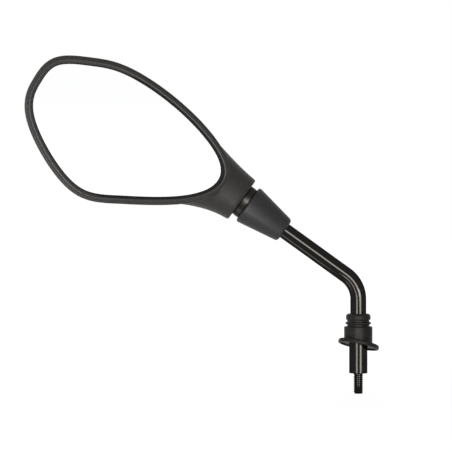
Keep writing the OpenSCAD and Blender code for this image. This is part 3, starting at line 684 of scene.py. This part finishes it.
def buildBoot():
    ringFoot = boot["top"] - boot["ringTall"]
    ribTop = ringFoot - boot["grooveTall"]
    ribFoot = ribTop - boot["ribTall"]
    bodyTop = ribFoot - boot["grooveTall"]
    bm = turned(rounded([(boot["bore"], boot["boreFoot"]), (boot["bore"], boot["top"], 0.6),
                         (boot["ring"], boot["top"], 2.4), (boot["ring"], ringFoot, 0.7),
                         (boot["groove"], ringFoot, 0.35), (boot["groove"], ribTop, 0.35),
                         (boot["rib"], ribTop, 0.75), (boot["rib"], ribFoot, 0.75),
                         (boot["groove"], ribFoot, 0.35), (boot["groove"], bodyTop, 0.35),
                         (boot["body"], bodyTop, 0.8), (boot["body"], boot["foot"]),
                         (boot["hold"], boot["foot"]), (boot["hold"], boot["holdTop"]),
                         (boot["bore"], boot["holdTop"])]))
    tilt = (Matrix.Translation((0, 0, boot["flangeAt"])) @ Matrix.Rotation(math.radians(boot["slope"]), 4, "Y")
            @ Matrix.Rotation(math.radians(-boot["pitch"]), 4, "X"))
    bmesh.ops.bisect_plane(bm, geom=bm.verts[:] + bm.edges[:] + bm.faces[:], plane_co=tilt.translation
                           + tilt.to_3x3() @ Vector((0, 0, boot["hollow"] + 0.3)),
                           plane_no=tilt.to_3x3() @ Vector((0, 0, -1)), clear_outer=True)
    bmesh.ops.bridge_loops(bm, edges=[e for e in bm.edges if len(e.link_faces) == 1])
    inside = boot["flange"] - boot["lip"]
    flange = turned(rounded([(9.0, boot["hollow"]), (inside, boot["hollow"], 0.3), (inside, 0.0, 0.3),
                             (boot["flange"], 0.0, 0.5), (boot["flange"], boot["flangeThick"], 1.3),
                             (boot["body"] - 1.0, boot["flangeThick"])]))
    return makePiece(joined(bm, placed(flange, tilt)), "rubberBoot", atOrigin, "boot",
                     "rubber_boot", sharp=40, normals=False)


rubberBoot = buildBoot()
print("boot")

# floor, which the stud's end touches: white where it is seen, with the shadow round the foot
floorSet = dict(half=12.0, height=-0.0179, near=0.86, nearAt=0.12, whiteAt=0.7, glow=1.09, grain=40)


def whitePaper():
    paint = Paint("floorPaper")
    grain = paint.noise(floorSet["grain"], 3.0)
    paint.set(Base_Color=paint.tint(grain, (0.84, 0.84, 0.84), (0.88, 0.88, 0.88)), Roughness=0.9,
              Specular_IOR_Level=0.1)
    seen = paint.node("ShaderNodeLightPath", out="Is Camera Ray")
    mirrored = paint.node("ShaderNodeLightPath", out="Is Glossy Ray")
    through = paint.node("ShaderNodeLightPath", out="Is Transmission Ray")
    away = paint.node("ShaderNodeVectorMath", dict(operation="LENGTH"), {0: paint.place()}, "Value")
    whiteness = paint.ramp(away, (floorSet["nearAt"], floorSet["near"]), (floorSet["whiteAt"], 1.0))
    glow = paint.node("ShaderNodeEmission", {}, {"Color": (1, 1, 1, 1), "Strength": floorSet["glow"]})
    mixed = paint.node("ShaderNodeMixShader", {}, {0: whiteness * (seen + mirrored + through), 2: glow})
    paint.tree.links.new(paint.shader.outputs[0], mixed.socket.node.inputs[1])
    paint.tree.links.new(mixed.socket, paint.tree.nodes["Material Output"].inputs["Surface"])
    return paint.material


bm = bmesh.new()
bmesh.ops.create_grid(bm, x_segments=2, y_segments=2, size=floorSet["half"])
bmesh.ops.translate(bm, vec=(0, 0, floorSet["height"]), verts=bm.verts)
floor = bpy.data.objects.new("floor", toMesh(bm, "floor"))
scene.collection.objects.link(floor)
floor.data.materials.append(whitePaper())

# sky: white where it is seen, soft where it lights
skySet = dict(ambient=0.20)
world = bpy.data.worlds.new("studio")
scene.world = world
world.use_nodes = True
tree = world.node_tree
background = tree.nodes["Background"]
background.inputs["Color"].default_value = (1, 1, 1, 1)
path = tree.nodes.new("ShaderNodeLightPath")
total = None
for name in ("Is Camera Ray", "Is Glossy Ray", "Is Transmission Ray"):
    step = tree.nodes.new("ShaderNodeMath")
    step.operation = "MULTIPLY_ADD"
    step.inputs[1].default_value = 1 - skySet["ambient"]
    tree.links.new(path.outputs[name], step.inputs[0])
    if total is None:
        step.inputs[2].default_value = skySet["ambient"]
    else:
        tree.links.new(total, step.inputs[2])
    total = step.outputs[0]
tree.links.new(total, background.inputs["Strength"])
print("floor and sky")

# lamps: those with a share light every piece, a sheen shows on the moulded plastic and a glow on the
# boot, and those with a level are cards that the black gloss and the ball show as strips
daylight, warmer, card = (1.0, 0.99, 0.98), (1.0, 0.98, 0.95), (1.0, 0.97, 0.93)
lamps = [
    dict(name="keyFront", place=(-0.30, -1.05, 0.14), wide=0.50, tall=0.22, share=0.38, sheen=1.0,
         colour=daylight),
    dict(name="underSoft", place=(-0.45, -0.90, -0.35), wide=0.50, tall=0.25, share=0.40, sheen=1.2,
         under=True, colour=daylight),
    dict(name="fillLeft", place=(-0.95, -0.50, 0.12), wide=0.45, tall=0.26, share=0.12, sheen=0.15,
         colour=daylight),
    dict(name="fillRight", place=(0.55, -0.95, 0.16), wide=0.50, tall=0.30, share=0.05, colour=warmer),
    dict(name="backSoft", place=(0.20, 1.30, 0.50), wide=0.80, tall=0.50, share=0.42, sheen=0.12,
         colour=(1.0, 0.99, 0.97)),
    dict(name="backFlat", place=(-0.05, 1.60, 0.15), wide=0.90, tall=0.50, share=0.55, colour=daylight),
    dict(name="backKey", place=(-1.30, 0.55, 0.35), wide=0.45, tall=0.35, share=0.28, sheen=0.35,
         colour=daylight),
    dict(name="backCard", place=(-0.20, 0.12, 0.1375), aim=(-0.0465, 0, 0.1), wide=0.20, tall=0.05,
         level=10.0, along=alongArm, colour=warmer),
    dict(name="bootFront", place=(0.0, -0.80, 0.06), aim=(0, 0, 0.04), wide=0.90, tall=0.30, glow=3.0,
         colour=warmer),
    dict(name="cardRight", place=(0.0235, -0.05, 0.031), aim=(0.0235, 0, 0.031), wide=0.021, tall=0.094,
         level=24.0, colour=card),
    dict(name="cardLeft", place=(-0.0203, -0.05, 0.024), aim=(-0.0203, 0, 0.024), wide=0.019, tall=0.08,
         level=18.0, colour=card),
    dict(name="cardArm", place=(-0.0303, -0.12, 0.1258), aim=(-0.0303, 0, 0.1258), wide=0.19, tall=0.038,
         level=24.0, along=alongArm, colour=card),
    dict(name="cardBelow", place=(-0.135, -0.035, 0.012), aim=(-0.055, 0, 0.118), wide=0.16, tall=0.05,
         level=6.0, spread=70, along=alongArm, colour=(1.0, 0.97, 0.94)),
]
receivers = dict(level=(stemTube, threadedFoot, pivotBall), sheen=(headShell, rimBead, coneCover),
                 glow=(rubberBoot,))
for kind, pieces in receivers.items():
    receivers[kind] = bpy.data.collections.new(kind + "Pieces")
    for piece in pieces:
        receivers[kind].objects.link(piece)
ground = bpy.data.collections.new("groundPieces")  # lets a lamp below the floor shine through it
ground.objects.link(floor)
ground.collection_objects[0].light_linking.link_state = "EXCLUDE"


def hang(lamp, kind):
    place = Vector(lamp["place"])
    way = place - Vector(lamp.get("aim", (-0.09, 0, 0.13)))
    data = bpy.data.lights.new(lamp["name"], "AREA")
    data.shape = "RECTANGLE"
    data.size = lamp["wide"]
    data.size_y = lamp["tall"]
    if kind == "level":
        data.energy = lamp["level"] * math.pi * lamp["wide"] * lamp["tall"]
    else:
        data.energy = lamp[kind] * math.pi ** 2 * way.length_squared
    if "spread" in lamp:
        half = math.radians(lamp["spread"] / 2)
        data.spread = 2 * half
        data.energy *= 1 - half / math.tan(half)
    data.color = lamp["colour"]
    back = way.normalized()
    side = Vector(lamp.get("along", (1, 0, 0)))
    side = (side - side.dot(back) * back).normalized()
    holder = bpy.data.objects.new(lamp["name"], data)
    holder.location = place
    holder.rotation_euler = Matrix((side, back.cross(side), back)).transposed().to_euler()
    holder.visible_camera = False
    holder.visible_diffuse = kind == "share"
    holder.visible_glossy = kind != "share"
    if kind in receivers:
        holder.light_linking.receiver_collection = receivers[kind]
    if "under" in lamp:
        holder.light_linking.blocker_collection = ground
    scene.collection.objects.link(holder)


for lamp in lamps:
    for kind in ("share", "sheen", "glow", "level"):
        if kind in lamp:
            hang(lamp, kind)
print("lamps")

scene.view_settings.view_transform = "Standard"
